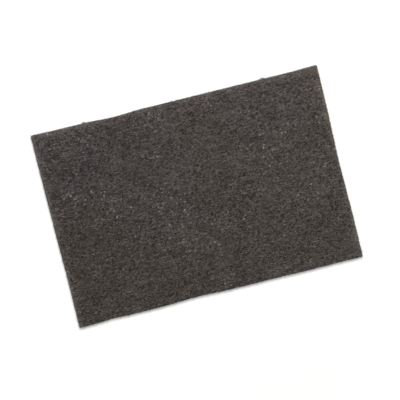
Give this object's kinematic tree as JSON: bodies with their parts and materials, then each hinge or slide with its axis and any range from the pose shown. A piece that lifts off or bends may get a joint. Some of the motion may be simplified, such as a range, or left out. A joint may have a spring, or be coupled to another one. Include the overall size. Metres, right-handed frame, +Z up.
{
  "type": "abrasive hand pad",
  "caption": "Flat rectangular hand pad of bonded fibre web with abrasive grain, for scuffing, cleaning and finishing by hand.",
  "frame": {"origin": "middle of the flat underside", "axes": "+X along the pad's length, +Y along its width, +Z up through its thickness, away from the surface that it lies on"},
  "size_m": [0.229, 0.1544, 0.006],
  "materials": {
    "fibre_web": "matte"
  },
  "bodies": {
    "root": {"fibre_web_pad": "fibre_web"}
  },
  "joints": []
}
